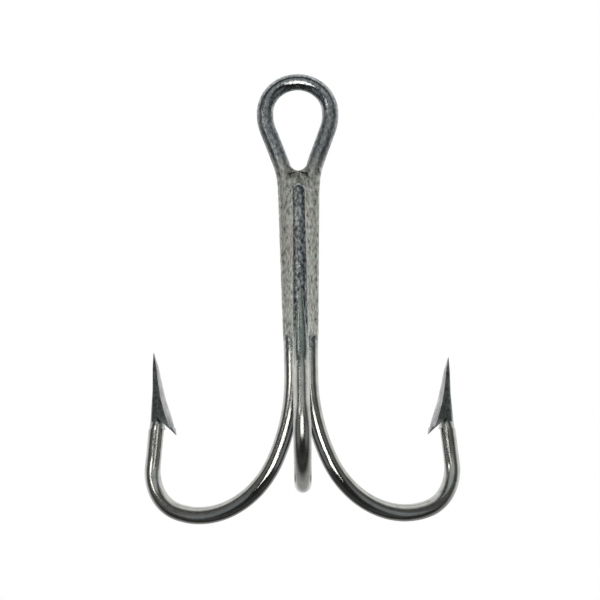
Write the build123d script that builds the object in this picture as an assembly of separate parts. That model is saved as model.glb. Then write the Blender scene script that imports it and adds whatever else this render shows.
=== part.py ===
from build123d import *
import math
import os

# Treble hook: one wire makes the eye and two hooks, a second wire is the third hook, and solder
# joins them. Millimetres. The origin is the centre of the eye's round top, the eye lies in the
# XZ plane, +Z runs along the shank towards the eye, and the third hook points to -Y.

# Wires
WIRE_R = 1.0
WIRE_GAP = 0.04              # solder film between neighbouring wires

# Eye: a half round top, then two straight sides that lean in to the neck
EYE_R = 3.95                 # centreline radius
EYE_ARC_HALF = 30.0          # the round top is three arcs, each twice this many degrees
EYE_SIDE_LEAN = 20.0         # degrees off the shank
EYE_SIDE_R = 5.0             # bend from the round top into each side
EYE_SIDE_Z = -1.25           # where the tangents of that bend meet
NECK_R = 13.0

# Shank heights, measured from the eye's centre
SPREAD_END_Z = -29.7         # below this the shanks lie parallel, wire against wire
BEND_START_Z = -32.9
NECK_HALF_SPREAD = 1.5       # half the distance between the shanks at the neck
NECK_Z = EYE_SIDE_Z - (EYE_R - NECK_HALF_SPREAD) / math.tan(math.radians(EYE_SIDE_LEAN))
SPREAD_R = 150.0             # the slight bend where the shanks start to spread
THIRD_TOP_Z = -9.4           # rounded upper end of the third wire

# Directions of the three hooks in degrees about the shank, from +X
RIGHT = 29.5
LEFT = 150.5
FRONT = -90.0

# Each bend as tangent arcs: radius, turn in degrees
BEND_ARCS = [(20.0, 29.0), (10.7, 84.0), (5.75, 73.5)]
ARM_LENGTH = 6.2             # straight arm from the last arc up into the spear

# Spear and barb in the hook's plane, as (out, up) from the arm's centreline at the notch. Out runs
# away from the shank and up runs along it. The barb is a sliver cut from the wire and bent out.
# The three points differ a little, in the height of the notch and the length above it.
NOTCH_Z = {RIGHT: -36.9, LEFT: -36.5, FRONT: -36.6}
STRETCH = {RIGHT: 0.94, LEFT: 1.015, FRONT: 1.0}
SPEAR_TIP = (0.45, 9.1)
OUTER_EDGE = [(0.98, -0.5), (0.74, 2.2), (0.59, 4.3), (0.6, 7.2)]
INNER_EDGE = [(-0.25, 7.3), (-0.72, 5.2), (-1.22, 3.2), (-2.3, 0.2)]
BARB_TIP = (-2.8, -1.4)
NOTCH_APEX = (-0.35, 1.0)
NOTCH_MOUTH = [(-1.05, -0.5), (-1.6, -2.2)]   # the cut leaves the wire here
BLADE_FOOT = (-0.2, -0.5)    # inside the round arm
SHOULDER_DROP = 0.6          # the round arm ends this far below the notch's height
SHOULDER_LENGTH = 3.6
SHOULDER_TIP_R = 0.35
SPEAR_HALF_THICKNESS = [(-1.4, 0.15), (0.2, 0.75), (1.5, 0.72), (4.5, 0.52), (7.5, 0.28), (9.1, 0.06)]
BLADE_BLANK_HALF_WIDTH = 6.0  # the thickness taper is cut from a blank wider than the spear

# Solder
FILL = 0.9                   # how far each groove is filled, as a share of the wire's radius
REAR_FILL = 0.6
FILL_BOTTOM_Z = -29.4
FILL_FADE_Z = -26.0          # the grooves are full above this
FILL_FOOT = 0.75             # share of a full groove at the solder's lower end
FILL_TOP_Z = -9.7
WEB_TOP_Z = -7.0             # the web that closes the bottom of the eye
WEB_HALF_THICKNESS = 0.6
WEB_HOLLOW_R = 1.0           # the web's upper edge is a hollow curve
WEB_HALF_WIDTH = 2.4         # reaches into the wires at both sides
WEB_OVERLAP = 0.5            # how far the web runs down into the core


def spacing(z):
    """Half the distance between the two shanks at height z."""
    closed = WIRE_R + WIRE_GAP / 2
    share = (z - SPREAD_END_Z) / (NECK_Z - SPREAD_END_Z)
    return closed + (NECK_HALF_SPREAD - closed) * max(0.0, min(1.0, share))


def third_offset(z):
    """How far the third wire's centre stands in front of the two shanks at height z."""
    return math.sqrt((2 * WIRE_R + WIRE_GAP) ** 2 - spacing(z) ** 2)


CLOSED = spacing(SPREAD_END_Z)
SHANK_FOOT = {
    RIGHT: (CLOSED, 0.0),
    LEFT: (-CLOSED, 0.0),
    FRONT: (0.0, -third_offset(SPREAD_END_Z)),
}                            # each wire's centre, as (x, y), where its bend starts


def in_hook_plane(azimuth, reach, z):
    """Point at that reach from the shank's centreline, in the plane of the hook at that azimuth."""
    x, y = SHANK_FOOT[azimuth]
    angle = math.radians(azimuth)
    return Vector(x + reach * math.cos(angle), y + reach * math.sin(angle), z)


def bend_corners():
    """Corners of the tangents to the bend's arcs, and the arm's end, as (reach, z)."""
    reach, z, heading = 0.0, BEND_START_Z, 0.0
    corners = []
    carry = 0.0
    for radius, turn in BEND_ARCS:
        tangent = radius * math.tan(math.radians(turn) / 2)
        step = carry + tangent
        reach += step * math.sin(heading)
        z -= step * math.cos(heading)
        corners.append((reach, z))
        heading += math.radians(turn)
        carry = tangent
    step = carry + ARM_LENGTH
    corners.append((reach + step * math.sin(heading), z - step * math.cos(heading)))
    return corners


def arm_lean():
    """Inward lean of the arm, as rise over run."""
    return math.tan(math.radians(sum(turn for _, turn in BEND_ARCS) - 180))


def arm_reach(z):
    """Reach of the arm's centreline from the shank's at height z."""
    reach_end, z_end = bend_corners()[-1]
    return reach_end + (z_end - z) * arm_lean()


def arm_point(azimuth, z):
    """Centre of the arm of the hook at that azimuth, at height z."""
    return in_hook_plane(azimuth, arm_reach(z), z)


def arm_end(azimuth):
    """Centre of the round arm's upper end."""
    return arm_point(azimuth, NOTCH_Z[azimuth] - SHOULDER_DROP)


def rounded_path(corners, radii):
    """Straight runs joined by tangent arcs: one radius for each inner corner."""
    edges = []
    start = corners[0]
    for before, corner, after, radius in zip(corners, corners[1:], corners[2:], radii):
        into = (corner - before).normalized()
        out = (after - corner).normalized()
        half_turn = math.radians(into.get_angle(out)) / 2
        tangent = radius * math.tan(half_turn)
        first = corner - into * tangent
        last = corner + out * tangent
        middle = corner + (out - into).normalized() * radius * (1 / math.cos(half_turn) - 1)
        if (first - start).length > 1e-4:
            edges.append(Line(start, first))
        edges.append(ThreePointArc(first, middle, last))
        start = last
    edges.append(Line(start, corners[-1]))
    return Wire(edges)


def wire_along(path):
    """Round wire swept along a path."""
    section = Plane(origin=path @ 0, z_dir=path % 0) * Circle(WIRE_R)
    return sweep(section, path=path)


def spear_plane(azimuth):
    """Plane of the hook with x out from the shank and y up, at the arm's centre by the notch."""
    outward = in_hook_plane(azimuth, 1, 0) - in_hook_plane(azimuth, 0, 0)
    origin = arm_point(azimuth, NOTCH_Z[azimuth])
    return Plane(origin=origin, x_dir=outward, z_dir=outward.cross(Vector(0, 0, 1)))


def stretched(points, azimuth):
    """The (across, up) points with the ups scaled to the length of that spear."""
    return [(across, up * STRETCH[azimuth]) for across, up in points]


def spear(azimuth):
    """Flattened point with its barb."""
    plane = spear_plane(azimuth)
    outline = [*OUTER_EDGE, SPEAR_TIP, *INNER_EDGE, BARB_TIP, NOTCH_APEX, BLADE_FOOT]
    face = make_face(plane * Polyline(*stretched(outline, azimuth), close=True))
    blade = extrude(face, amount=WIRE_R, both=True)
    left = [(-half, up) for up, half in SPEAR_HALF_THICKNESS]
    right = [(half, up) for up, half in reversed(SPEAR_HALF_THICKNESS)]
    edge_plane = Plane(origin=plane.origin, x_dir=plane.z_dir, z_dir=plane.x_dir * -1)
    side = make_face(edge_plane * Polyline(*stretched(left + right, azimuth), close=True))
    taper = extrude(side, amount=BLADE_BLANK_HALF_WIDTH, both=True)
    return blade & taper


def shoulder(azimuth):
    """Short cone that carries the round arm into the flat spear."""
    base = arm_end(azimuth)
    up = arm_point(azimuth, NOTCH_Z[azimuth]) - base
    standing = (Align.CENTER, Align.CENTER, Align.MIN)
    return Plane(origin=base, z_dir=up) * Cone(WIRE_R, SHOULDER_TIP_R, SHOULDER_LENGTH, align=standing)


def notch(azimuth):
    """The wedge of space between the barb and the arm, right through the wire."""
    outline = stretched([NOTCH_APEX, *NOTCH_MOUTH, BARB_TIP], azimuth)
    side = spear_plane(azimuth) * Polyline(*outline, close=True)
    return extrude(make_face(side), amount=2 * WIRE_R, both=True)


def with_point(wire, azimuth):
    """The wire with a barbed spear on the arm of the hook at that azimuth."""
    return wire + spear(azimuth) + shoulder(azimuth) - notch(azimuth)


def hook_corners(azimuth):
    """Corners of one hook from its bend to the arm's end."""
    points = [in_hook_plane(azimuth, reach, z) for reach, z in bend_corners()]
    return points[:-1] + [arm_end(azimuth)]


def eye_corners():
    """Corners of the tangents round the eye, from right to left."""
    half = math.radians(EYE_ARC_HALF)
    reach = EYE_R / math.cos(half)
    top = [Vector(reach * math.cos(turn * half), 0, reach * math.sin(turn * half)) for turn in (1, 3, 5)]
    return [Vector(EYE_R, 0, EYE_SIDE_Z), *top, Vector(-EYE_R, 0, EYE_SIDE_Z)]


def double_hook_wire():
    """Eye, two shanks and two barbed hooks in one continuous wire."""
    right = [Vector(NECK_HALF_SPREAD, 0, NECK_Z), Vector(CLOSED, 0, SPREAD_END_Z), *hook_corners(RIGHT)]
    left = [Vector(-NECK_HALF_SPREAD, 0, NECK_Z), Vector(-CLOSED, 0, SPREAD_END_Z), *hook_corners(LEFT)]
    bend_radii = [radius for radius, _ in BEND_ARCS]
    down_radii = [NECK_R, SPREAD_R, *bend_radii]
    eye_radii = [EYE_SIDE_R, EYE_R, EYE_R, EYE_R, EYE_SIDE_R]
    radii = down_radii[::-1] + eye_radii + down_radii
    solid = wire_along(rounded_path(right[::-1] + eye_corners() + left, radii))
    return with_point(with_point(solid, RIGHT), LEFT)


def single_hook_wire():
    """Third shank with a rounded upper end, and its barbed hook."""
    top = Vector(0, -third_offset(THIRD_TOP_Z), THIRD_TOP_Z - WIRE_R)
    spread_end = Vector(0, -third_offset(SPREAD_END_Z), SPREAD_END_Z)
    corners = [top, spread_end] + hook_corners(FRONT)
    radii = [SPREAD_R] + [radius for radius, _ in BEND_ARCS]
    solid = wire_along(rounded_path(corners, radii))
    solid = solid + Pos(top.X, top.Y, top.Z) * Sphere(WIRE_R)
    return with_point(solid, FRONT)


def centres(z):
    """Centres of the left shank, the right shank and the third wire at height z."""
    half = spacing(z)
    return Vector(-half, 0, z), Vector(half, 0, z), Vector(0, -third_offset(z), z)


def prism(outline_at, heights):
    """Solid through the polygons that outline_at gives at each height."""
    sections = [make_face(Polyline(*outline_at(z), close=True)) for z in heights]
    return loft(sections, ruled=True)


def groove(first, second, share):
    """Four corners of the groove outside the line between two wire centres."""
    along = (second - first).normalized()
    outward = along.cross(Vector(0, 0, 1)) * WIRE_R * share
    return [first, second, second + outward, first + outward]


def fade(z):
    """Share of a full groove at height z: the solder thins out at its lower end."""
    return FILL_FOOT if z == FILL_BOTTOM_Z else 1.0


FILL_HEIGHTS = [FILL_BOTTOM_Z, FILL_FADE_Z, FILL_TOP_Z]


def left_outline(z):
    left, _, third = centres(z)
    return groove(left, third, FILL * fade(z))


def right_outline(z):
    _, right, third = centres(z)
    return groove(third, right, FILL * fade(z))


def core_outline(z):
    """The triangle between the three centres and the groove behind the shanks."""
    left, right, third = centres(z)
    back = Vector(0, WIRE_R * REAR_FILL * fade(z), 0)
    return [third, right, right + back, left + back, left]


def eye_web():
    """Flat web between the two sides of the eye, with a hollow upper edge."""
    low = FILL_TOP_Z - WEB_OVERLAP
    height = WEB_TOP_Z - low
    web = Pos(0, 0, low + height / 2) * Box(2 * WEB_HALF_WIDTH, 2 * WEB_HALF_THICKNESS, height)
    hollow = Rot(90, 0, 0) * Cylinder(WEB_HOLLOW_R, 4 * WEB_HALF_THICKNESS)
    return web - Pos(0, 0, WEB_TOP_Z + WEB_HOLLOW_R / 2) * hollow


def keep_largest(shape):
    """The biggest solid of a cut shape, leaving out slivers."""
    return max(shape.solids(), key=lambda solid: solid.volume)


def build():
    double = double_hook_wire()
    single = single_hook_wire()
    core = prism(core_outline, FILL_HEIGHTS) + eye_web()
    parts = {
        "double_hook_wire": double,
        "single_hook_wire": single,
        "braze_left_fillet": keep_largest(prism(left_outline, FILL_HEIGHTS) - double - single),
        "braze_right_fillet": keep_largest(prism(right_outline, FILL_HEIGHTS) - double - single),
        "braze_core": keep_largest(core - double - single),
    }
    os.makedirs("parts", exist_ok=True)
    for name, shape in parts.items():
        shape.label = name
        export_step(shape, "parts/" + name + ".step")
        print(name, round(shape.volume, 2), shape.bounding_box())


build()
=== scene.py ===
import math

import bmesh
import bpy
import numpy as np
from mathutils import Matrix, Vector, noise


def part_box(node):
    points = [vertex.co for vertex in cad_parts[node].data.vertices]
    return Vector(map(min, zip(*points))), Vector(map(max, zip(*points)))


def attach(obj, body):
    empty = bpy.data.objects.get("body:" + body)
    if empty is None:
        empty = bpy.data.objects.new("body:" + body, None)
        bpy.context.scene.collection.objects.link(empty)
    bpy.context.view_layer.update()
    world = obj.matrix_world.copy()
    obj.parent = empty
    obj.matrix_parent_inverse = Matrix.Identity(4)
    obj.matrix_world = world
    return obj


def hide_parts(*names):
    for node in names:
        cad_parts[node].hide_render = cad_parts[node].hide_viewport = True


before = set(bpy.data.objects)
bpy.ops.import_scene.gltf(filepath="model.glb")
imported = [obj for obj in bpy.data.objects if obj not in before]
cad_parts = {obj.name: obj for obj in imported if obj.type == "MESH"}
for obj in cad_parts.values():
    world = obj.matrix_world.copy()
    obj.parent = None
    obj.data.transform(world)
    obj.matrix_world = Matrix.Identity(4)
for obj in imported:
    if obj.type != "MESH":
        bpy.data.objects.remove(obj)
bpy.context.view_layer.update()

# Everything below is in metres, in the frame of the CAD model: the origin is the centre of the
# eye's round top, +Z runs up the shank, and the third hook points to -Y.
MM = 0.001
WIRE_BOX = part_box("double_hook_wire")
WIRE_R = -WIRE_BOX[0][1]
EYE_R = WIRE_BOX[1][2] - WIRE_R
BEND_BOTTOM_Z = WIRE_BOX[0][2]
THIRD_TOP_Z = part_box("single_hook_wire")[1][2]
FILL_BOTTOM_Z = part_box("braze_left_fillet")[0][2]
WEB_TOP_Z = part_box("braze_core")[1][2]

# Wires
WIRE_GAP = 0.04 * MM
EYE_ARC_HALF = 30.0          # the eye's round top is three arcs, each twice this many degrees
EYE_SIDE_LEAN = math.radians(20.0)
EYE_SIDE_R = 5.0 * MM
EYE_SIDE_Z = -1.25 * MM
NECK_R = 13.0 * MM
NECK_HALF_SPREAD = 1.5 * MM
NECK_Z = EYE_SIDE_Z - (EYE_R - NECK_HALF_SPREAD) / math.tan(EYE_SIDE_LEAN)
NECK_FOOT_Z = NECK_Z - NECK_R * math.tan(EYE_SIDE_LEAN / 2)    # the shanks are straight below this
SPREAD_END_Z = -29.7 * MM
SPREAD_R = 150.0 * MM

# Directions of the three hooks about the shank, from +X
RIGHT = math.radians(29.5)
LEFT = math.radians(150.5)
FRONT = math.radians(-90)

# Each bend as tangent arcs: radius, turn
BEND_START_Z = -32.9 * MM
BEND_ARCS = [
    (20.0 * MM, math.radians(29.0)),
    (10.7 * MM, math.radians(84.0)),
    (5.75 * MM, math.radians(73.5)),
]
BEND_RADII = [radius for radius, _ in BEND_ARCS]
ARM_LENGTH = 6.2 * MM
ARM_LEAN = math.tan(sum(turn for _, turn in BEND_ARCS) - math.pi)     # inward, as rise over run

# Fineness of the meshes
RING_POINTS = 48
RING_ANGLES = [2 * math.pi * k / RING_POINTS for k in range(RING_POINTS)]
RUN_STEP = 0.45 * MM
ARC_STEP = math.radians(2.5)
SAME_POINT = 1e-7            # two points closer than this are one

# Spear and barb in the hook's plane, as (out, up) from the arm's centre at the notch. The three
# points differ a little, in the height of the notch and the length above it.
NOTCH_Z = {RIGHT: -36.9 * MM, LEFT: -36.5 * MM, FRONT: -36.6 * MM}
STRETCH = {RIGHT: 0.94, LEFT: 1.015, FRONT: 1.0}
SPEAR_TIP_UP = 9.1 * MM
BARB_TIP_UP = -1.4 * MM
NOTCH_OUTLINE = [
    (-0.35 * MM, 1.0 * MM), (-1.02 * MM, -0.47 * MM), (-1.86 * MM, -0.47 * MM),
]                            # the apex, then the two sides of the mouth
ARM_TOP_UP = -0.45 * MM      # the swept arm ends here, inside its shoulder


def clamp(share):
    """The share, held between 0 and 1."""
    return max(0.0, min(1.0, share))


def ease(share):
    """The share with a soft start and a soft end."""
    return share * share * (3 - 2 * share)


def spacing(z):
    """Half the distance between the two shanks at height z."""
    closed = WIRE_R + WIRE_GAP / 2
    share = (z - SPREAD_END_Z) / (NECK_Z - SPREAD_END_Z)
    return closed + (NECK_HALF_SPREAD - closed) * clamp(share)


def third_offset(z):
    """How far the third wire's centre stands in front of the two shanks at height z."""
    return math.sqrt((2 * WIRE_R + WIRE_GAP) ** 2 - spacing(z) ** 2)


CLOSED = spacing(SPREAD_END_Z)
SHANK_FOOT = {RIGHT: (CLOSED, 0), LEFT: (-CLOSED, 0), FRONT: (0, -third_offset(SPREAD_END_Z))}


# ---------------------------------------------------------------- paths

def in_hook_plane(azimuth, reach, z):
    """Point at that reach from the shank's centreline, in the plane of the hook at that azimuth."""
    x, y = SHANK_FOOT[azimuth]
    return Vector((x + reach * math.cos(azimuth), y + reach * math.sin(azimuth), z))


def bend_corners():
    """Corners of the tangents to the bend's arcs, and the arm's end, as (reach, z)."""
    reach, z, heading = 0.0, BEND_START_Z, 0.0
    corners = []
    carry = 0.0
    for radius, turn in BEND_ARCS:
        tangent = radius * math.tan(turn / 2)
        reach += (carry + tangent) * math.sin(heading)
        z -= (carry + tangent) * math.cos(heading)
        corners.append((reach, z))
        heading += turn
        carry = tangent
    step = carry + ARM_LENGTH
    corners.append((reach + step * math.sin(heading), z - step * math.cos(heading)))
    return corners


BEND_CORNERS = bend_corners()


def arm_reach(z):
    """Reach of the arm's centreline from the shank's at height z."""
    reach_end, z_end = BEND_CORNERS[-1]
    return reach_end + (z_end - z) * ARM_LEAN


def run_points(start, end):
    """Points along a straight run, leaving out its start."""
    pieces = max(1, round((end - start).length / RUN_STEP))
    return [start.lerp(end, i / pieces) for i in range(1, pieces + 1)]


def arc_points(start, into, out, radius):
    """Points along the arc that leaves start along into and ends along out, leaving out its start."""
    turn = into.angle(out)
    centre_way = (out - into * into.dot(out)).normalized()
    pieces = max(2, math.ceil(turn / ARC_STEP))
    points = []
    for i in range(1, pieces + 1):
        angle = turn * i / pieces
        ahead = start + into * radius * math.sin(angle)
        points.append(ahead + centre_way * radius * (1 - math.cos(angle)))
    return points


def rounded_path(corners, radii):
    """Points along straight runs joined by tangent arcs: one radius for each inner corner."""
    points = [corners[0]]
    for before, corner, after, radius in zip(corners, corners[1:], corners[2:], radii):
        into = (corner - before).normalized()
        out = (after - corner).normalized()
        tangent = radius * math.tan(into.angle(out) / 2)
        first = corner - into * tangent
        if (first - points[-1]).length > SAME_POINT:
            points += run_points(points[-1], first)
        points += arc_points(first, into, out, radius)
    return points + run_points(points[-1], corners[-1])


def hook_corners(azimuth):
    """Corners of one hook from its bend to the top of its arm."""
    points = [in_hook_plane(azimuth, reach, z) for reach, z in BEND_CORNERS]
    top_z = NOTCH_Z[azimuth] + ARM_TOP_UP
    return points[:-1] + [in_hook_plane(azimuth, arm_reach(top_z), top_z)]


def eye_corners():
    """Corners of the tangents round the eye, from right to left."""
    reach = EYE_R / math.cos(math.radians(EYE_ARC_HALF))
    angles = [math.radians(turn * EYE_ARC_HALF) for turn in (1, 3, 5)]
    top = [Vector((reach * math.cos(a), 0, reach * math.sin(a))) for a in angles]
    return [Vector((EYE_R, 0, EYE_SIDE_Z)), *top, Vector((-EYE_R, 0, EYE_SIDE_Z))]


def shank_corners(side):
    """Corners of the right shank (side 1) or the left one (side -1), from the neck down."""
    return [Vector((side * NECK_HALF_SPREAD, 0, NECK_Z)), Vector((side * CLOSED, 0, SPREAD_END_Z))]


def double_path():
    """Right arm, right shank, eye, left shank, left arm."""
    right = shank_corners(1) + hook_corners(RIGHT)
    left = shank_corners(-1) + hook_corners(LEFT)
    down_radii = [NECK_R, SPREAD_R, *BEND_RADII]
    eye_radii = [EYE_SIDE_R, EYE_R, EYE_R, EYE_R, EYE_SIDE_R]
    return rounded_path(right[::-1] + eye_corners() + left, down_radii[::-1] + eye_radii + down_radii)


def single_path():
    """Third shank from its upper end to the top of the front arm."""
    top = Vector((0, -third_offset(THIRD_TOP_Z), THIRD_TOP_Z - WIRE_R))
    spread_end = Vector((0, -third_offset(SPREAD_END_Z), SPREAD_END_Z))
    return rounded_path([top, spread_end] + hook_corners(FRONT), [SPREAD_R, *BEND_RADII])


# ---------------------------------------------------------------- mesh helpers

def add_object(name, verts, faces):
    """Mesh object from vertices and faces, with its normals made to point outwards."""
    mesh = bpy.data.meshes.new(name)
    mesh.from_pydata([tuple(v) for v in verts], [], faces)
    mesh.update()
    bm = bmesh.new()
    bm.from_mesh(mesh)
    bmesh.ops.recalc_face_normals(bm, faces=bm.faces)
    bm.to_mesh(mesh)
    bm.free()
    obj = bpy.data.objects.new(name, mesh)
    bpy.context.scene.collection.objects.link(obj)
    return obj


def loft_rings(name, rings):
    """Closed skin through rings that all have the same number of points, capped at both ends."""
    count = len(rings[0])
    verts = [point for ring in rings for point in ring]
    faces = []
    for row in range(len(rings) - 1):
        low, high = row * count, (row + 1) * count
        for i in range(count):
            j = (i + 1) % count
            faces.append((low + i, low + j, high + j, high + i))
    for row in (0, len(rings) - 1):
        first = row * count
        verts.append(sum(rings[row], Vector()) / count)
        for i in range(count):
            faces.append((first + i, first + (i + 1) % count, len(verts) - 1))
    return add_object(name, verts, faces)


def combine(target, tool, operation):
    """Boolean of two closed meshes, applied to the first. The second is removed."""
    modifier = target.modifiers.new("combine", "BOOLEAN")
    modifier.operation = operation
    modifier.solver = "EXACT"
    modifier.object = tool
    bpy.context.view_layer.update()
    depsgraph = bpy.context.evaluated_depsgraph_get()
    mesh = bpy.data.meshes.new_from_object(target.evaluated_get(depsgraph))
    target.modifiers.clear()
    target.data = mesh
    bpy.data.objects.remove(tool)
    return target


def shade(obj, crease_degrees):
    """Smooth shading with the edges sharper than the crease angle kept crisp."""
    for polygon in obj.data.polygons:
        polygon.use_smooth = True
    obj.data.set_sharp_from_angle(angle=math.radians(crease_degrees))


# ---------------------------------------------------------------- wires

WIRE_LUMP = 0.006 * MM       # the drawn wire isn't perfectly round
WIRE_LUMP_SIZE = 1.6 * MM
BEND_SPREAD = 0.04           # a forged bend is this much wider in its plane and thinner across
BEND_SPREAD_TOP = 5 * MM     # height above the bend's bottom where the spread ends
BEND_SPREAD_FADE = 4 * MM
PRESSED_ARM = 0.80           # an arm's thickness under its spear, as a share of the wire's
PRESS_START_Z = -43.8 * MM
PRESS_LENGTH = 3.6 * MM
ARMS_FROM = 14 * MM          # the arms stand farther from the hook's axis than this
CAP_RINGS = 8


def bend_share(point):
    """How much a point belongs to the forged, lower part of a bend."""
    return clamp((BEND_BOTTOM_Z + BEND_SPREAD_TOP - point.z) / BEND_SPREAD_FADE)


def arm_press(point):
    """How far an arm is pressed flat at a point: 0 in the bend, 1 from the spear's foot upwards."""
    if math.hypot(point.x, point.y) < ARMS_FROM:
        return 0.0
    return ease(clamp((point.z - PRESS_START_Z) / PRESS_LENGTH))


def wire_ring(point, side, other, across):
    """Ring of the slightly uneven wire round a point of its path, flattened along across."""
    forged = BEND_SPREAD * bend_share(point)
    thinned = 2 * forged + (1 - PRESSED_ARM) * arm_press(point)
    ring = []
    for angle in RING_ANGLES:
        offset = side * math.cos(angle) + other * math.sin(angle)
        flat = offset.dot(across)
        offset = offset * (1 + forged) - across * flat * thinned
        lump = noise.noise((point + offset * WIRE_R) / WIRE_LUMP_SIZE) * WIRE_LUMP
        ring.append(point + offset * (WIRE_R - WIRE_LUMP + lump))
    return ring


def tube_rings(path, normal_at):
    """Rings of a wire along a path. normal_at gives the flattening direction at a point."""
    rings = []
    side = (path[1] - path[0]).normalized().orthogonal()
    for i, point in enumerate(path):
        ahead = path[min(i + 1, len(path) - 1)] - path[max(i - 1, 0)]
        tangent = ahead.normalized()
        side = (side - tangent * side.dot(tangent)).normalized()
        rings.append(wire_ring(point, side, tangent.cross(side), normal_at(point)))
    return rings


def hook_normal(point):
    """Normal of the hook plane that a point of the double wire lies in."""
    azimuth = RIGHT if point.x > 0 else LEFT
    return Vector((-math.sin(azimuth), math.cos(azimuth), 0))


def rounded_end(ring, centre, outward):
    """Rings that close a wire's end with a rounded, slightly flattened cap, from its top down."""
    cap = []
    for step in range(CAP_RINGS, 0, -1):
        angle = math.pi / 2 * step / (CAP_RINGS + 1)
        rise = outward * WIRE_R * math.sin(angle)
        cap.append([centre + (point - centre) * math.cos(angle) + rise for point in ring])
    return cap


# ---------------------------------------------------------------- spear and barb

SPEAR_LEVELS = 60
# The blade in millimetres above the notch: (up, out) along its outer edge and along the barb's
# edge, and (up, half thickness). At the mouth of the notch the outer edge steps in to the barb.
STEP_UPS = (-0.46, -0.45)
OUTER_EDGE = [
    (-1.4, -2.75), (STEP_UPS[0], -1.80), (STEP_UPS[1], 0.9), (1.6, 0.66),
    (4.3, 0.46), (7.2, 0.52), (9.1, 0.47),
]
INNER_EDGE = [
    (-1.4, -2.82), (-0.9, -2.66), (0.2, -2.28), (3.2, -1.12), (5.2, -0.60), (7.3, -0.15), (9.1, 0.43),
]
HALF_THICKNESS = [
    (-1.4, 0.05), (-0.4, 0.45), (0.6, 0.70), (1.8, 0.72), (4.5, 0.54), (7.5, 0.28), (9.1, 0.03),
]

# Half section of the blade from its outer edge to its sharp barb edge: share of the width, and
# share of the half thickness. The back is round, the faces are flat, and the edge is bevelled.
BEVEL_START = 0.88
BLADE_SECTION = [
    (0.0, 0.0), (0.015, 0.32), (0.05, 0.62), (0.10, 0.83), (0.16, 0.95), (0.22, 1.0), (0.40, 1.0),
    (BEVEL_START, 1.0), (0.93, 0.76), (0.97, 0.44), (1.0, 0.0),
]
BEVEL_END = 1.05             # a little past the edge, so that the faces along it are counted in

# Shoulder, where the round arm is pressed into the blade: heights above the notch, and shares of
# the wire's radius that the dies take off its thickness and off its width on the barb's side.
SHOULDER_UP = -0.6 * MM
SHOULDER_END_UP = 4.2 * MM
SHOULDER_LEVELS = 24
SHOULDER_PRESS_LENGTH = 2.6 * MM
SHOULDER_THINNING = 0.32
SHOULDER_NARROWING = 0.15
SHOULDER_EDGE_UP = -0.4 * MM     # the shoulder keeps to the blade's outer edge from here upwards
SHOULDER_PROUD = 0.06 * MM       # how far it stands out past that edge at its foot
TAPER_UP = 2.6 * MM              # above this it shrinks, and ends inside the blade
TAPER_LENGTH = 1.6 * MM
TAPER = 0.85


def along(table, up):
    """Value at height up in a table of (up, value) in millimetres, in metres."""
    return float(np.interp(up / MM, [row[0] for row in table], [row[1] for row in table])) * MM


def spear_point(azimuth, out, up, across):
    """Point of the spear: out from the arm's centre, up from the notch, across the hook plane."""
    notch_z = NOTCH_Z[azimuth]
    base = in_hook_plane(azimuth, arm_reach(notch_z) + out, notch_z + up * STRETCH[azimuth])
    return base + Vector((-math.sin(azimuth), math.cos(azimuth), 0)) * across


def blade_ring(azimuth, up):
    """Section of the blade at one height."""
    out = along(OUTER_EDGE, up)
    width = out - along(INNER_EDGE, up)
    half = along(HALF_THICKNESS, up)
    near = [(out - width * w, half * t) for w, t in BLADE_SECTION]
    far = [(o, -t) for o, t in near[-2:0:-1]]
    return [spear_point(azimuth, o, up, t) for o, t in near + far]


def blade(azimuth):
    """Flattened spear with its barb as one closed skin."""
    low, high = BARB_TIP_UP, SPEAR_TIP_UP
    ups = [low + (high - low) * i / SPEAR_LEVELS for i in range(SPEAR_LEVELS + 1)]
    ups += [up * MM for up in STEP_UPS]
    return loft_rings("blade", [blade_ring(azimuth, up) for up in sorted(ups)])


def shoulder_section(up):
    """Middle, half width and half thickness of the shoulder at one height."""
    share = clamp((up - SHOULDER_UP) / SHOULDER_PRESS_LENGTH)
    press = ease(share)
    centre = -ARM_LEAN * up
    edge = along(OUTER_EDGE, max(up, SHOULDER_EDGE_UP)) + SHOULDER_PROUD * (1 - share)
    outer = min(centre + WIRE_R, edge)
    inner = centre - WIRE_R * (1 - SHOULDER_NARROWING * press)
    half = WIRE_R * (PRESSED_ARM - SHOULDER_THINNING * press)
    shrink = 1 - TAPER * clamp((up - TAPER_UP) / TAPER_LENGTH)
    return (outer + inner) / 2, (outer - inner) / 2 * shrink, half * shrink


def shoulder(azimuth):
    """The round arm flattened where the dies pressed it, ending inside the blade."""
    rings = []
    for i in range(SHOULDER_LEVELS + 1):
        up = SHOULDER_UP + (SHOULDER_END_UP - SHOULDER_UP) * i / SHOULDER_LEVELS
        middle, reach, half = shoulder_section(up)
        rings.append([
            spear_point(azimuth, middle + reach * math.cos(angle), up, half * math.sin(angle))
            for angle in RING_ANGLES
        ])
    return loft_rings("shoulder", rings)


def notch_wedge(azimuth):
    """The wedge of space that the knife cut opens between the barb and the arm."""
    rings = []
    for across in (-2 * WIRE_R, 2 * WIRE_R):
        rings.append([spear_point(azimuth, out, up, across) for out, up in NOTCH_OUTLINE])
    return loft_rings("wedge", rings)


def with_point(wire, azimuth):
    """Adds a spear to the arm of the hook at that azimuth and cuts the notch under its barb."""
    combine(wire, shoulder(azimuth), "UNION")
    combine(wire, blade(azimuth), "UNION")
    return combine(wire, notch_wedge(azimuth), "DIFFERENCE")


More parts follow.
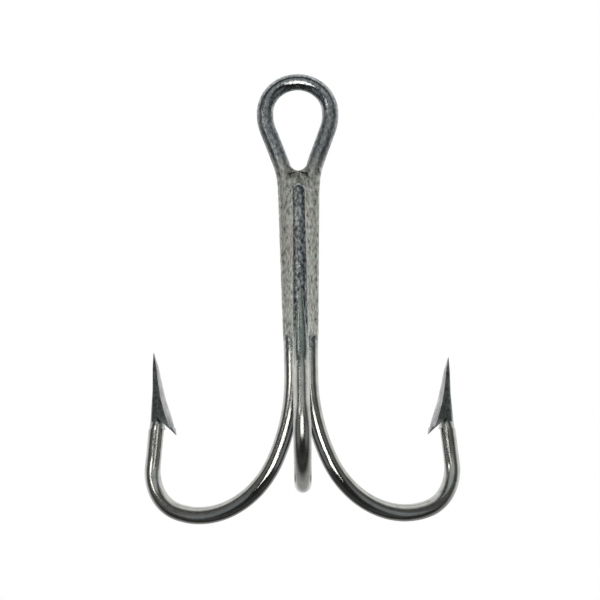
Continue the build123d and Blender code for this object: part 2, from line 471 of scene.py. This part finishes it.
def on_bevel(point, azimuth):
    """Whether a point of the wire's skin is on the ground bevel of the spear at that azimuth."""
    offset = point - spear_point(azimuth, 0, 0, 0)
    out = offset.x * math.cos(azimuth) + offset.y * math.sin(azimuth)
    across = offset.y * math.cos(azimuth) - offset.x * math.sin(azimuth)
    up = offset.z / STRETCH[azimuth]
    if abs(across) > WIRE_R or not BARB_TIP_UP < up < SPEAR_TIP_UP:
        return False
    outer, inner = along(OUTER_EDGE, up), along(INNER_EDGE, up)
    return BEVEL_START < (outer - out) / (outer - inner) < BEVEL_END


def build_double_wire():
    """Eye, two shanks and two barbed hooks."""
    wire = loft_rings("double_wire", tube_rings(double_path(), hook_normal))
    for azimuth in (RIGHT, LEFT):
        with_point(wire, azimuth)
    return wire


def build_single_wire():
    """Third shank with its rounded upper end, and the front barbed hook."""
    path = single_path()
    rings = tube_rings(path, lambda point: Vector((1, 0, 0)))
    cap = rounded_end(rings[0], path[0], (path[0] - path[1]).normalized())
    return with_point(loft_rings("single_wire", cap + rings), FRONT)


# ---------------------------------------------------------------- solder

FILM = 0.035 * MM            # solder coat over the wires beside the grooves
FILM_SUNK = 0.05 * MM        # the coat sinks this far into the wires where the solder runs out
SOLDER_STEP = 0.11 * MM
SIDE_TOP_Z = -7.9 * MM
REAR_TOP_Z = -8.6 * MM
FOOT_FEATHER = 1.6 * MM      # lengths over which the solder runs out at its two ends
TOP_FEATHER = 1.0 * MM
FEATHER_RAGGED = 0.3 * MM
REAR_SEED = 3                # makes the rear's ragged ends unlike those of sides -1 and 1
LUMPS = [(1.5 * MM, 0.030 * MM), (0.55 * MM, 0.022 * MM), (0.22 * MM, 0.010 * MM)]     # size, height
STREAK = (0.30 * MM, 2.4 * MM, 0.020 * MM)     # width, length, height
GROOVE_HOLLOW = 0.10 * MM
REAR_HOLLOW = 0.45 * MM
EMPTY_HOLLOW = 0.5           # extra hollow where the solder runs out, as a share of the wire's radius
HOLLOW_POWER = 0.8           # below 1 the hollow is flatter in the middle than a sine
COAT_STEPS = 12              # steps of the outer line over its first wire
GROOVE_STEPS = 16            # across the groove
FAR_COAT_STEPS = 8           # and over its second wire
FAR_COAT = 3                 # degrees that the side coats run on round the third wire
BURIED = 0.82                # the solder's hidden corners are this far out in the wires
REAR_BURIED_Y = -0.3 * MM
LEAN_BACK = 0.68             # above the third wire the solder closes in by this much of its offset
LEAN_START = 0.9 * MM        # below the third wire's upper end
LEAN_LENGTH = 0.8 * MM
BEAD = Vector((1.62, -0.95, -8.35)) * MM     # drop of solder on the front of the right wire
BEAD_HEIGHT = 0.16 * MM
BEAD_SIZE = 0.34 * MM


def lumpiness(point):
    """Height of the solder's cast, drawn-out lumps at a point."""
    height = sum(noise.noise(point / size) * amount for size, amount in LUMPS)
    width, length, amount = STREAK
    stretched = Vector((point.x / width, point.y / width, point.z / length))
    bead = BEAD_HEIGHT * math.exp(-((point - BEAD).length / BEAD_SIZE) ** 2)
    return height + noise.noise(stretched) * amount + bead


def polar(centre, radius, degrees):
    """Point at that radius and angle from a centre, at the centre's height."""
    angle = math.radians(degrees)
    return centre + Vector((radius * math.cos(angle), radius * math.sin(angle), 0))


def end_share(z, top_z, seed):
    """1 along the solder, falling to 0 over its feathered ends."""
    ragged = noise.noise(Vector((seed, z / MM, 0))) * FEATHER_RAGGED
    low = (z - FILL_BOTTOM_Z + ragged) / FOOT_FEATHER
    high = (top_z - z + ragged) / TOP_FEATHER
    return clamp(min(low, high))


def skin_line(first, second, start, normal, end, hollow, share):
    """Outer line of the solder: over the first wire, across the groove, and onto the second.

    Angles are degrees about each wire: the coat starts at start, leaves the first wire and
    reaches the second near the common normal, and runs on to end.
    """
    radius = WIRE_R + FILM * share - FILM_SUNK * (1 - share)
    points = []
    for i in range(COAT_STEPS + 1):
        points.append(polar(first, radius, start + (normal - start) * i / COAT_STEPS))
    left, right = points[-1], polar(second, radius, normal)
    outward = polar(Vector(), 1, normal)
    depth = hollow + (1 - share) * WIRE_R * EMPTY_HOLLOW
    for i in range(1, GROOVE_STEPS):
        t = i / GROOVE_STEPS
        points.append(left.lerp(right, t) - outward * depth * math.sin(math.pi * t) ** HOLLOW_POWER)
    for i in range(FAR_COAT_STEPS + 1):
        points.append(polar(second, radius, normal + (end - normal) * i / FAR_COAT_STEPS))
    return points


def roughen(points, first, second, share):
    """Moves the outer line's points out and in by the lumps, leaving its two ends on the wires."""
    out = []
    last = len(points) - 1
    for i, point in enumerate(points):
        centre = first if (point - first).length < (point - second).length else second
        way = (point - centre).normalized()
        hold = min(1.0, i / 2, (last - i) / 2)
        out.append(point + way * lumpiness(point) * share * hold)
    return out


def solder_piece(name, section_at, top_z):
    """Closed skin through the sections that section_at gives from the solder's foot to its top."""
    count = round((top_z - FILL_BOTTOM_Z) / SOLDER_STEP)
    heights = [FILL_BOTTOM_Z + (top_z - FILL_BOTTOM_Z) * i / count for i in range(count + 1)]
    return loft_rings(name, [section_at(z) for z in heights])


def wire_centres(z):
    """Centres of the left and right shanks and the third wire at height z.

    Above the third wire's end its centre is carried on, leaning back, so that the solder closes
    in to the web of the eye.
    """
    rise = max(0.0, z - NECK_FOOT_Z)
    half = spacing(z) + NECK_R - math.sqrt(NECK_R ** 2 - rise ** 2)
    lean = LEAN_BACK * clamp((z - THIRD_TOP_Z + LEAN_START) / LEAN_LENGTH)
    return Vector((-half, 0, z)), Vector((half, 0, z)), Vector((0, -third_offset(z) * (1 - lean), z))


def side_section(z, side):
    """Section of the solder between one shank and the third wire. side is -1 left, 1 right."""
    left, right, third = wire_centres(z)
    shank = left if side < 0 else right
    tilt = math.degrees(math.atan2(right.x, -third.y))
    start = 90 - 90 * side
    normal = start - tilt * side
    end = normal - FAR_COAT * side
    share = end_share(z, SIDE_TOP_Z, side)
    line = skin_line(shank, third, start, normal, end, GROOVE_HOLLOW, share)
    line = roughen(line, shank, third, share)
    inner = BURIED * WIRE_R
    return line + [polar(third, inner, end), shank.lerp(third, 0.5), polar(shank, inner, start)]


def rear_section(z):
    """Section of the solder behind and between the two shanks."""
    left, right, _ = wire_centres(z)
    share = end_share(z, REAR_TOP_Z, REAR_SEED)
    line = skin_line(left, right, 180, 90, 0, REAR_HOLLOW, share)
    line = roughen(line, left, right, share)
    inner = BURIED * WIRE_R
    return line + [polar(right, inner, 0), Vector((0, REAR_BURIED_Y, z)), polar(left, inner, 180)]


WEB_LOW_Z = -10.6 * MM
WEB_MIDDLE_Z = WEB_TOP_Z - 0.38 * MM     # top of the web halfway between the two wires
WEB_REACH = 1.75 * MM                    # the web's ends are inside the wires
WEB_HALF = (0.5 * MM, 0.85 * MM)         # half thickness in the middle and at the wires
WEB_RISE = 0.62 / MM                     # rise of the top edge with the square of x
WEB_ROUNDING = 0.45                      # 1 makes the web's section an ellipse, 0 makes it a box
WEB_LUMPINESS = 2.6                      # the web is this much lumpier than the solder below it
WEB_SLICES = 45


def eye_web():
    """Hollow-edged, lumpy web that closes the bottom of the eye, sliced from left to right."""
    rings = []
    for slice_number in range(WEB_SLICES):
        x = WEB_REACH * (2 * slice_number / (WEB_SLICES - 1) - 1)
        near = (x / WEB_REACH) ** 2
        half = WEB_HALF[0] + (WEB_HALF[1] - WEB_HALF[0]) * near
        top = WEB_MIDDLE_Z + WEB_RISE * x * x
        middle, reach = (top + WEB_LOW_Z) / 2, (top - WEB_LOW_Z) / 2
        ring = []
        for angle in RING_ANGLES:
            y = half * math.copysign(abs(math.cos(angle)) ** WEB_ROUNDING, math.cos(angle))
            point = Vector((x, y, middle + reach * math.sin(angle)))
            point.y *= 1 + WEB_LUMPINESS * lumpiness(point) / half
            ring.append(point)
        rings.append(ring)
    return loft_rings("eye_web", rings)


def build_braze_core():
    """Solder behind the shanks and the web of the eye, as one skin."""
    core = solder_piece("braze_rear", rear_section, REAR_TOP_Z)
    return combine(core, eye_web(), "UNION")


# ---------------------------------------------------------------- material helpers

def new_material(name):
    """A new material with its node tree and its main shader."""
    material = bpy.data.materials.new(name)
    material.use_nodes = True
    return material, material.node_tree, material.node_tree.nodes["Principled BSDF"]


def feed(tree, node, inputs):
    """Sets a node's inputs, by name or number, to plain values or to the outputs of other nodes."""
    for key, value in inputs.items():
        if isinstance(value, bpy.types.NodeSocket):
            tree.links.new(value, node.inputs[key])
        else:
            node.inputs[key].default_value = value


def calculate(tree, operation, *values):
    """Result of a math operation on values."""
    node = tree.nodes.new("ShaderNodeMath")
    node.operation = operation
    feed(tree, node, dict(enumerate(values)))
    return node.outputs[0]


def calculate_vector(tree, operation, *values):
    """Node of a math operation on vectors."""
    node = tree.nodes.new("ShaderNodeVectorMath")
    node.operation = operation
    feed(tree, node, dict(enumerate(values)))
    return node


def spread(tree, value, low, high, bottom=0.0):
    """Bottom where the value is at low or beyond it, and 1 at high or beyond it."""
    node = tree.nodes.new("ShaderNodeMapRange")
    feed(tree, node, {"Value": value, "From Min": low, "From Max": high, "To Min": bottom})
    return node.outputs["Result"]


def place(tree):
    """Place of a point in the object's own metres."""
    return tree.nodes.new("ShaderNodeTexCoord").outputs["Object"]


def axis(tree, vector, name):
    """One coordinate of a vector."""
    split = tree.nodes.new("ShaderNodeSeparateXYZ")
    feed(tree, split, {"Vector": vector})
    return split.outputs[name]


def grain(tree, scale, detail, stretch=(1, 1, 1)):
    """Noise through the object, with its axes scaled by stretch."""
    mapping = tree.nodes.new("ShaderNodeMapping")
    feed(tree, mapping, {"Vector": place(tree), "Scale": stretch})
    texture = tree.nodes.new("ShaderNodeTexNoise")
    feed(tree, texture, {"Vector": mapping.outputs["Vector"], "Scale": scale, "Detail": detail})
    return texture.outputs["Fac"]


def ramp(tree, source, stops):
    """Colour ramp from a value. stops are (position, colour)."""
    node = tree.nodes.new("ShaderNodeValToRGB")
    elements = node.color_ramp.elements
    while len(elements) < len(stops):
        elements.new(0.5)
    for element, (position, colour) in zip(elements, stops):
        element.position = position
        element.color = (*colour, 1)
    feed(tree, node, {"Fac": source})
    return node.outputs["Color"]


def grey_ramp(tree, source, stops):
    """Ramp of plain values from a value. stops are (position, value)."""
    return ramp(tree, source, [(position, (value, value, value)) for position, value in stops])


def mix(tree, share, first, second, blend_type="MIX"):
    """Colour that goes from first to second with share."""
    node = tree.nodes.new("ShaderNodeMix")
    node.data_type = "RGBA"
    node.blend_type = blend_type
    feed(tree, node, {"Factor": share, "A": first, "B": second})
    return node.outputs["Result"]


def bump(tree, height, strength, distance, below=None):
    """Surface normal moved by a height, on top of the bump below it if there is one."""
    node = tree.nodes.new("ShaderNodeBump")
    feed(tree, node, {"Strength": strength, "Distance": distance, "Height": height})
    if below is not None:
        feed(tree, node, {"Normal": below})
    return node.outputs["Normal"]


# ---------------------------------------------------------------- materials

# Colours along a noise, as (position, colour)
POLISHED_COLOURS = [(0.3, (0.42, 0.43, 0.40)), (0.55, (0.54, 0.55, 0.52)), (0.8, (0.60, 0.59, 0.55))]
DULLED_COLOURS = [(0.38, (0.08, 0.10, 0.11)), (0.50, (0.25, 0.28, 0.29)), (0.63, (0.62, 0.65, 0.64))]
EYE_COLOURS = [(0.36, (0.15, 0.17, 0.18)), (0.49, (0.30, 0.32, 0.33)), (0.64, (0.48, 0.50, 0.50))]
SPEAR_COLOURS = [(0.3, (0.20, 0.24, 0.22)), (0.7, (0.34, 0.38, 0.36))]
# The bevels' pale colour is partly ground steel and partly painted sheen standing in for the facet's
# reflection
BEVEL_STEEL_AND_SHEEN_COLOURS = [(0.35, (0.58, 0.58, 0.60)), (0.65, (0.84, 0.83, 0.86))]
SOLDER_COLOURS = [
    (0.31, (0.08, 0.08, 0.07)), (0.39, (0.32, 0.33, 0.30)),
    (0.52, (0.52, 0.53, 0.49)), (0.70, (0.78, 0.79, 0.75)),
]
TINT_COLOURS = [(0.35, (0.94, 1.0, 0.94)), (0.5, (1.0, 1.0, 1.0)), (0.65, (1.0, 0.95, 0.93))]

# Roughness along a noise, as (position, roughness)
POLISHED_ROUGH = [(0.35, 0.15), (0.7, 0.23)]
DULLED_ROUGH = [(0.3, 0.26), (0.7, 0.44)]
WETTED_ROUGH = [(0.3, 0.38), (0.7, 0.58)]
SPEAR_ROUGH = [(0.3, 0.22), (0.7, 0.36)]
FRONT_BEND_ROUGH = [(0.3, 0.26), (0.7, 0.30)]
SOLDER_ROUGH = [(0.3, 0.36), (0.7, 0.60)]
BEVEL_ROUGH = 0.4

# Noises: scale, detail and, where it isn't even, stretch along the axes
PATCHES = (900, 6)
STAIN = (3200, 8, (1, 1, 0.6))
MOTTLE = (3400, 8, (1, 1, 0.5))
SPEAR_GRAIN = (2600, 6)
BEVEL_GRAIN = (2200, 5, (1, 1, 0.3))
TINT = (450, 3)
WEAR = (2600, 5)
SOLDER_WEAR = (3500, 4)
PITS = (5200, 3)
WAVES = (1400, 2)
SCALE = (3600, 4, (1, 1, 0.7))
CAST_GRAIN = (4200, 5, (1, 1, 0.5))
RAGGED_EDGE = (1100, 4, (1, 1, 0.5))

# Bumps: strength, distance
PITS_BUMP = (0.02, 0.02 * MM)
WAVES_BUMP = (0.14, 0.05 * MM)
SCALE_BUMP = (0.7, 0.08 * MM)
CAST_BUMP = (0.55, 0.05 * MM)

# Heights between which one look of the wires turns into the next, and how ragged the change is
BRAZED_HEIGHTS = (-31.5 * MM, -27.0 * MM, 3.0 * MM)
WETTED_FOOT_HEIGHTS = (-10.5 * MM, -9.5 * MM, 0.5 * MM)
EYE_HEIGHTS = (-8.5 * MM, -6.5 * MM, 0.6 * MM)
EYE_TOP_HEIGHTS = (-1.0 * MM, 2.6 * MM, 1.0 * MM)
BELOW_EYE_TOP_HEIGHTS = (2.6 * MM, -1.0 * MM, 1.0 * MM)
SPEAR_HEIGHTS = (NOTCH_Z[RIGHT] - 0.3 * MM, NOTCH_Z[LEFT] + 1.3 * MM, 0.8 * MM)
SPEARS_FROM = 12 * MM                    # the spears stand farther from the hook's axis than this
FRONT_BEND_Y = (-16.0 * MM, -19.0 * MM)
WETTED_FADE = 1.8 * MM
WETTED_RAGGED = -1.2 * MM
EYE_WETTED_Z = -5.6 * MM                 # solder wets the eye's foot up to here
NEVER_WETTED_Z = -10.6 * MM              # below the foot of the wetted part, so none is wetted

SOLDER_METALLIC = 0.5
BEVEL_METALLIC = 0.3


def height_share(tree, low, high, ragged):
    """0 below one height and 1 above another, with the edge broken up by noise."""
    height = calculate(tree, "MULTIPLY_ADD", grain(tree, *RAGGED_EDGE), ragged, axis(tree, place(tree), "Z"))
    return spread(tree, height, low + ragged / 2, high + ragged / 2)


def spear_share(tree):
    """1 on the spears, which stand far from the shank and above their arms, and 0 elsewhere."""
    flat = calculate_vector(tree, "MULTIPLY", place(tree), (1, 1, 0)).outputs["Vector"]
    radius = calculate_vector(tree, "LENGTH", flat).outputs["Value"]
    far = calculate(tree, "GREATER_THAN", radius, SPEARS_FROM)
    return calculate(tree, "MULTIPLY", far, height_share(tree, *SPEAR_HEIGHTS))


def wetted_share(tree, top_z):
    """1 on the foot of the eye, up to top_z, where solder has wetted the wire, and 0 elsewhere."""
    above_foot = height_share(tree, *WETTED_FOOT_HEIGHTS)
    below_top = height_share(tree, top_z, top_z - WETTED_FADE, WETTED_RAGGED)
    return calculate(tree, "MULTIPLY", above_foot, below_top)


def wire_colour(tree, brazed, wetted, points):
    """Colour of the wire: polished, dulled by heat, wetted with solder, and grey on the spears."""
    polished = ramp(tree, grain(tree, *PATCHES), POLISHED_COLOURS)
    stain = grain(tree, *STAIN)
    shank = ramp(tree, stain, DULLED_COLOURS)
    dulled = mix(tree, height_share(tree, *EYE_HEIGHTS), shank, ramp(tree, stain, EYE_COLOURS))
    colour = mix(tree, brazed, polished, dulled)
    colour = mix(tree, wetted, colour, ramp(tree, grain(tree, *MOTTLE), SOLDER_COLOURS))
    return mix(tree, points, colour, ramp(tree, grain(tree, *SPEAR_GRAIN), SPEAR_COLOURS))


def wire_roughness(tree, brazed, wetted, points):
    """Roughness of the wire. The eye's top is worn smooth, and the front bend is a little duller."""
    wear = grain(tree, *WEAR)
    polished = grey_ramp(tree, wear, POLISHED_ROUGH)
    front_bend = spread(tree, axis(tree, place(tree), "Y"), *FRONT_BEND_Y)
    roughness = mix(tree, brazed, polished, grey_ramp(tree, wear, DULLED_ROUGH))
    roughness = mix(tree, height_share(tree, *EYE_TOP_HEIGHTS), roughness, polished)
    roughness = mix(tree, wetted, roughness, grey_ramp(tree, wear, WETTED_ROUGH))
    roughness = mix(tree, front_bend, roughness, grey_ramp(tree, wear, FRONT_BEND_ROUGH))
    return mix(tree, points, roughness, grey_ramp(tree, wear, SPEAR_ROUGH))


def wire_normal(tree, brazed):
    """Pits and waves all over the wire, and scale where it was brazed, below the eye's top."""
    pits = bump(tree, grain(tree, *PITS), *PITS_BUMP)
    waves = bump(tree, grain(tree, *WAVES), *WAVES_BUMP, pits)
    scaled = calculate(tree, "MULTIPLY", brazed, height_share(tree, *BELOW_EYE_TOP_HEIGHTS))
    scale = calculate(tree, "MULTIPLY", grain(tree, *SCALE), scaled)
    return bump(tree, scale, *SCALE_BUMP, waves)


def wire_material(name, wetted_top_z):
    """Tinned steel wire, wetted with solder round the foot of the eye up to wetted_top_z."""
    material, tree, shader = new_material(name)
    brazed = height_share(tree, *BRAZED_HEIGHTS)
    wetted = wetted_share(tree, wetted_top_z)
    points = spear_share(tree)
    feed(tree, shader, {
        "Metallic": 1.0,
        "Base Color": wire_colour(tree, brazed, wetted, points),
        "Roughness": wire_roughness(tree, brazed, wetted, points),
        "Normal": wire_normal(tree, brazed),
    })
    return material


def solder_material():
    """Cast tin solder: matte, mottled and faintly streaked along the shank, with dark pinholes."""
    material, tree, shader = new_material("cast_solder")
    mottle = ramp(tree, grain(tree, *MOTTLE), SOLDER_COLOURS)
    tint = ramp(tree, grain(tree, *TINT), TINT_COLOURS)
    feed(tree, shader, {
        "Metallic": SOLDER_METALLIC,
        "Base Color": mix(tree, 1.0, mottle, tint, "MULTIPLY"),
        "Roughness": grey_ramp(tree, grain(tree, *SOLDER_WEAR), SOLDER_ROUGH),
        "Normal": bump(tree, grain(tree, *CAST_GRAIN), *CAST_BUMP),
    })
    return material


def bevel_steel_and_sheen_material():
    """Ground steel on the bevels of the spears. Its pale, half-matte colour is partly the steel's own and
    partly painted sheen standing in for the facet's reflection.
    """
    material, tree, shader = new_material("ground_steel_and_painted_sheen")
    feed(tree, shader, {
        "Metallic": BEVEL_METALLIC,
        "Base Color": ramp(tree, grain(tree, *BEVEL_GRAIN), BEVEL_STEEL_AND_SHEEN_COLOURS),
        "Roughness": BEVEL_ROUGH,
    })
    return material


# ---------------------------------------------------------------- pieces

DOUBLE_WIRE_MATERIAL = wire_material("tinned_wire", EYE_WETTED_Z)
SINGLE_WIRE_MATERIAL = wire_material("tinned_wire_bare_end", NEVER_WETTED_Z)
SOLDER_MATERIAL = solder_material()
BEVEL_STEEL_AND_SHEEN_MATERIAL = bevel_steel_and_sheen_material()
WIRE_CREASE = 32             # degrees
SOLDER_CREASE = 60


def finish_piece(obj, name, node, material, crease):
    """Names and shades a piece, and puts it in the place of a node of the CAD model."""
    obj.name = name
    obj.data.name = name
    obj.data.materials.clear()
    obj.data.materials.append(material)
    shade(obj, crease)
    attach(obj, "root")
    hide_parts(node)


def grind_bevels(wire, azimuths):
    """Gives the bevels of the spears at those azimuths their own material, with its painted sheen."""
    wire.data.materials.append(BEVEL_STEEL_AND_SHEEN_MATERIAL)
    for face in wire.data.polygons:
        if any(on_bevel(face.center, azimuth) for azimuth in azimuths):
            face.material_index = 1


double_wire = build_double_wire()
finish_piece(double_wire, "double_hook", "double_hook_wire", DOUBLE_WIRE_MATERIAL, WIRE_CREASE)
grind_bevels(double_wire, (RIGHT, LEFT))
single_wire = build_single_wire()
finish_piece(single_wire, "single_hook", "single_hook_wire", SINGLE_WIRE_MATERIAL, WIRE_CREASE)
grind_bevels(single_wire, (FRONT,))
left_solder = solder_piece("braze_left", lambda z: side_section(z, -1), SIDE_TOP_Z)
right_solder = solder_piece("braze_right", lambda z: side_section(z, 1), SIDE_TOP_Z)
finish_piece(left_solder, "solder_left", "braze_left_fillet", SOLDER_MATERIAL, SOLDER_CREASE)
finish_piece(right_solder, "solder_right", "braze_right_fillet", SOLDER_MATERIAL, SOLDER_CREASE)
finish_piece(build_braze_core(), "solder_core", "braze_core", SOLDER_MATERIAL, SOLDER_CREASE)


# ---------------------------------------------------------------- camera, floor and light

CAMERA_DISTANCE = 296.0 * MM
CAMERA_LOW = math.radians(15.33)     # the camera looks up at the hook from below
CAMERA_TURN = math.radians(0.10)
CAMERA_ROLL = math.radians(0.80)
AIM_Y = -0.59 * MM
AIM_Z = -23.65 * MM
AIM_SIDE = 0.025 * MM
VIEW_WIDTH = 71.006 * MM             # what the frame takes in at the aim point
SENSOR = 36.0                        # millimetres, as Blender counts sensors and lenses
CLIP_START = 0.01

FLOOR_HALF = 0.4
FLOOR_COLOUR = (0.86, 0.86, 0.85, 1)
FLOOR_ROUGH = 0.9

# The room that the metal reflects, from in front of the hook (0) to behind it (1), as (position,
# brightness). ROOM_BACK is the direction of its back.
ROOM_BACK = (0.08, 0.88, 0.46)
ROOM = [
    (0.0, 0.05), (0.12, 0.08), (0.25, 0.20), (0.36, 0.10), (0.48, 0.05), (0.57, 0.55), (0.68, 1.0),
]
ROOM_FOOT = 0.42                     # the room's brightness below the hook, as a share of that above
ROOM_FOOT_HEIGHTS = (-0.30, 0.10)    # of the direction seen, between which it darkens
SEEN_WHITE = (1, 1, 1, 1)

LIGHT_DISTANCE = 0.45
# name, azimuth and elevation in degrees, width and height in metres, brightness, colour
LIGHTS = [
    ("front", -4, -16, 0.24, 0.25, 5.0, (1.0, 0.97, 0.93)),
    ("lamp", 2, 9, 0.06, 0.08, 2.2, (1.0, 0.94, 0.85)),
    ("window", -38, 14.5, 0.14, 0.06, 4.5, (1.0, 0.98, 0.94)),
    ("left_glow", -56, -24, 0.30, 0.26, 0.20, (0.85, 0.92, 1.0)),
    ("right_glow", 56, -24, 0.30, 0.26, 0.20, (0.85, 0.92, 1.0)),
    ("sky", 8, 26, 0.48, 0.26, 0.36, (0.90, 0.97, 1.0)),
]


def set_camera():
    """Perspective camera in front of the hook and below it."""
    toward = Vector((-math.sin(CAMERA_TURN) * math.cos(CAMERA_LOW),
                     -math.cos(CAMERA_TURN) * math.cos(CAMERA_LOW), -math.sin(CAMERA_LOW)))
    right = Vector((math.cos(CAMERA_TURN), -math.sin(CAMERA_TURN), 0))
    up = toward.cross(right)
    roll = Matrix.Rotation(-CAMERA_ROLL, 3, toward)
    right, up = roll @ right, roll @ up
    aim = Vector((0, AIM_Y, AIM_Z)) - right * AIM_SIDE
    data = bpy.data.cameras.new("camera")
    data.type = "PERSP"
    data.sensor_width = SENSOR
    data.lens = SENSOR * CAMERA_DISTANCE / VIEW_WIDTH
    data.clip_start = CLIP_START
    camera = bpy.data.objects.new("camera", data)
    rotation = Matrix((right, up, toward)).transposed().to_4x4()
    camera.matrix_world = Matrix.Translation(aim + toward * CAMERA_DISTANCE) @ rotation
    bpy.context.scene.collection.objects.link(camera)
    bpy.context.scene.camera = camera


def floor_material():
    """Pale floor that is clear when it is seen from below."""
    material, tree, shader = new_material("floor")
    feed(tree, shader, {"Base Color": FLOOR_COLOUR, "Roughness": FLOOR_ROUGH})
    from_below = tree.nodes.new("ShaderNodeNewGeometry").outputs["Backfacing"]
    clear = tree.nodes.new("ShaderNodeBsdfTransparent").outputs["BSDF"]
    either = tree.nodes.new("ShaderNodeMixShader")
    feed(tree, either, {"Fac": from_below, 1: shader.outputs["BSDF"], 2: clear})
    feed(tree, tree.nodes["Material Output"], {"Surface": either.outputs["Shader"]})
    return material


def add_floor():
    """Floor that the three bends stand on. It shows from above only, like a studio sweep."""
    half, z = FLOOR_HALF, BEND_BOTTOM_Z
    corners = [(-half, -half, z), (half, -half, z), (half, half, z), (-half, half, z)]
    floor = add_object("floor", corners, [(0, 1, 2, 3)])
    floor.data.materials.append(floor_material())
    if floor.data.polygons[0].normal.z < 0:
        floor.data.flip_normals()
    floor.visible_glossy = False


def set_world():
    """White surroundings as the camera sees them, and a room with a dark front in reflections."""
    world = bpy.data.worlds.new("studio")
    world.use_nodes = True
    bpy.context.scene.world = world
    tree = world.node_tree
    direction = tree.nodes.new("ShaderNodeTexCoord").outputs["Generated"]
    backward = calculate_vector(tree, "DOT_PRODUCT", direction, ROOM_BACK).outputs["Value"]
    room = grey_ramp(tree, calculate(tree, "MULTIPLY_ADD", backward, 0.5, 0.5), ROOM)
    foot = spread(tree, axis(tree, direction, "Z"), *ROOM_FOOT_HEIGHTS, ROOM_FOOT)
    seen = tree.nodes.new("ShaderNodeLightPath").outputs["Is Camera Ray"]
    colour = mix(tree, seen, calculate(tree, "MULTIPLY", room, foot), SEEN_WHITE)
    feed(tree, tree.nodes["Background"], {"Color": colour})


def add_area(name, azimuth, elevation, width, height, brightness, colour):
    """Soft rectangular light aimed at the middle of the hook. Azimuth 0 is the front."""
    a, e = math.radians(azimuth), math.radians(elevation)
    way = Vector((math.sin(a) * math.cos(e), -math.cos(a) * math.cos(e), math.sin(e)))
    data = bpy.data.lights.new(name, "AREA")
    data.shape = "RECTANGLE"
    data.size = width
    data.size_y = height
    data.energy = brightness * math.pi * width * height
    data.color = colour
    light = bpy.data.objects.new(name, data)
    light.location = Vector((0, AIM_Y, AIM_Z)) + way * LIGHT_DISTANCE
    light.rotation_euler = way.to_track_quat("Z", "Y").to_euler()
    bpy.context.scene.collection.objects.link(light)


bpy.context.scene.view_settings.view_transform = "Standard"
set_camera()
add_floor()
set_world()
for light in LIGHTS:
    add_area(*light)
